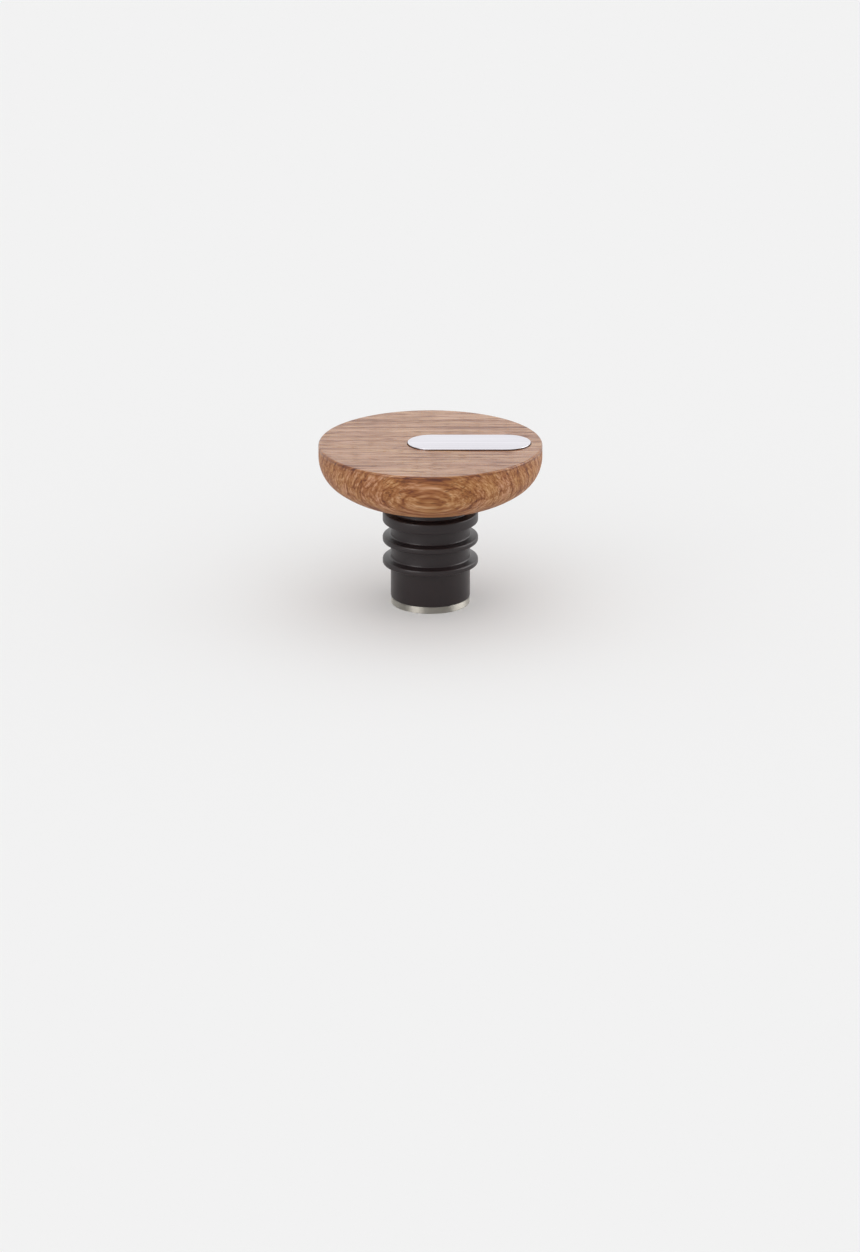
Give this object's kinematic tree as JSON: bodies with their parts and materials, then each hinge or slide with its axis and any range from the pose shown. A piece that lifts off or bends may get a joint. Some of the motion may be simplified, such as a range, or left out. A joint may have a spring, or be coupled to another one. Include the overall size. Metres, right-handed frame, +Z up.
{
  "type": "wooden bottle stopper",
  "caption": "Round turned oak stopper head with an inlaid metal plate, on a black silicone seal with sealing lips and a steel base disc.",
  "frame": {"origin": "centre of the steel base disc's lower face, on the stopper's axis", "axes": "+Z up along the stopper's axis to the top face, +X towards the plate's outer end, -Y towards the picture's viewer"},
  "size_m": [0.05, 0.05, 0.0376],
  "materials": {
    "oak": "turned and sanded oak, oiled, matt",
    "satin_plate": "satin",
    "brass_insert": "machined",
    "black_silicone": "moulded silicone, satin",
    "turned_steel": "turned stainless steel"
  },
  "bodies": {
    "root": {"wood_head": "oak", "inlay_plate": "satin_plate", "threaded_insert": "brass_insert", "silicone_seal": "black_silicone", "steel_core": "turned_steel"}
  },
  "joints": []
}
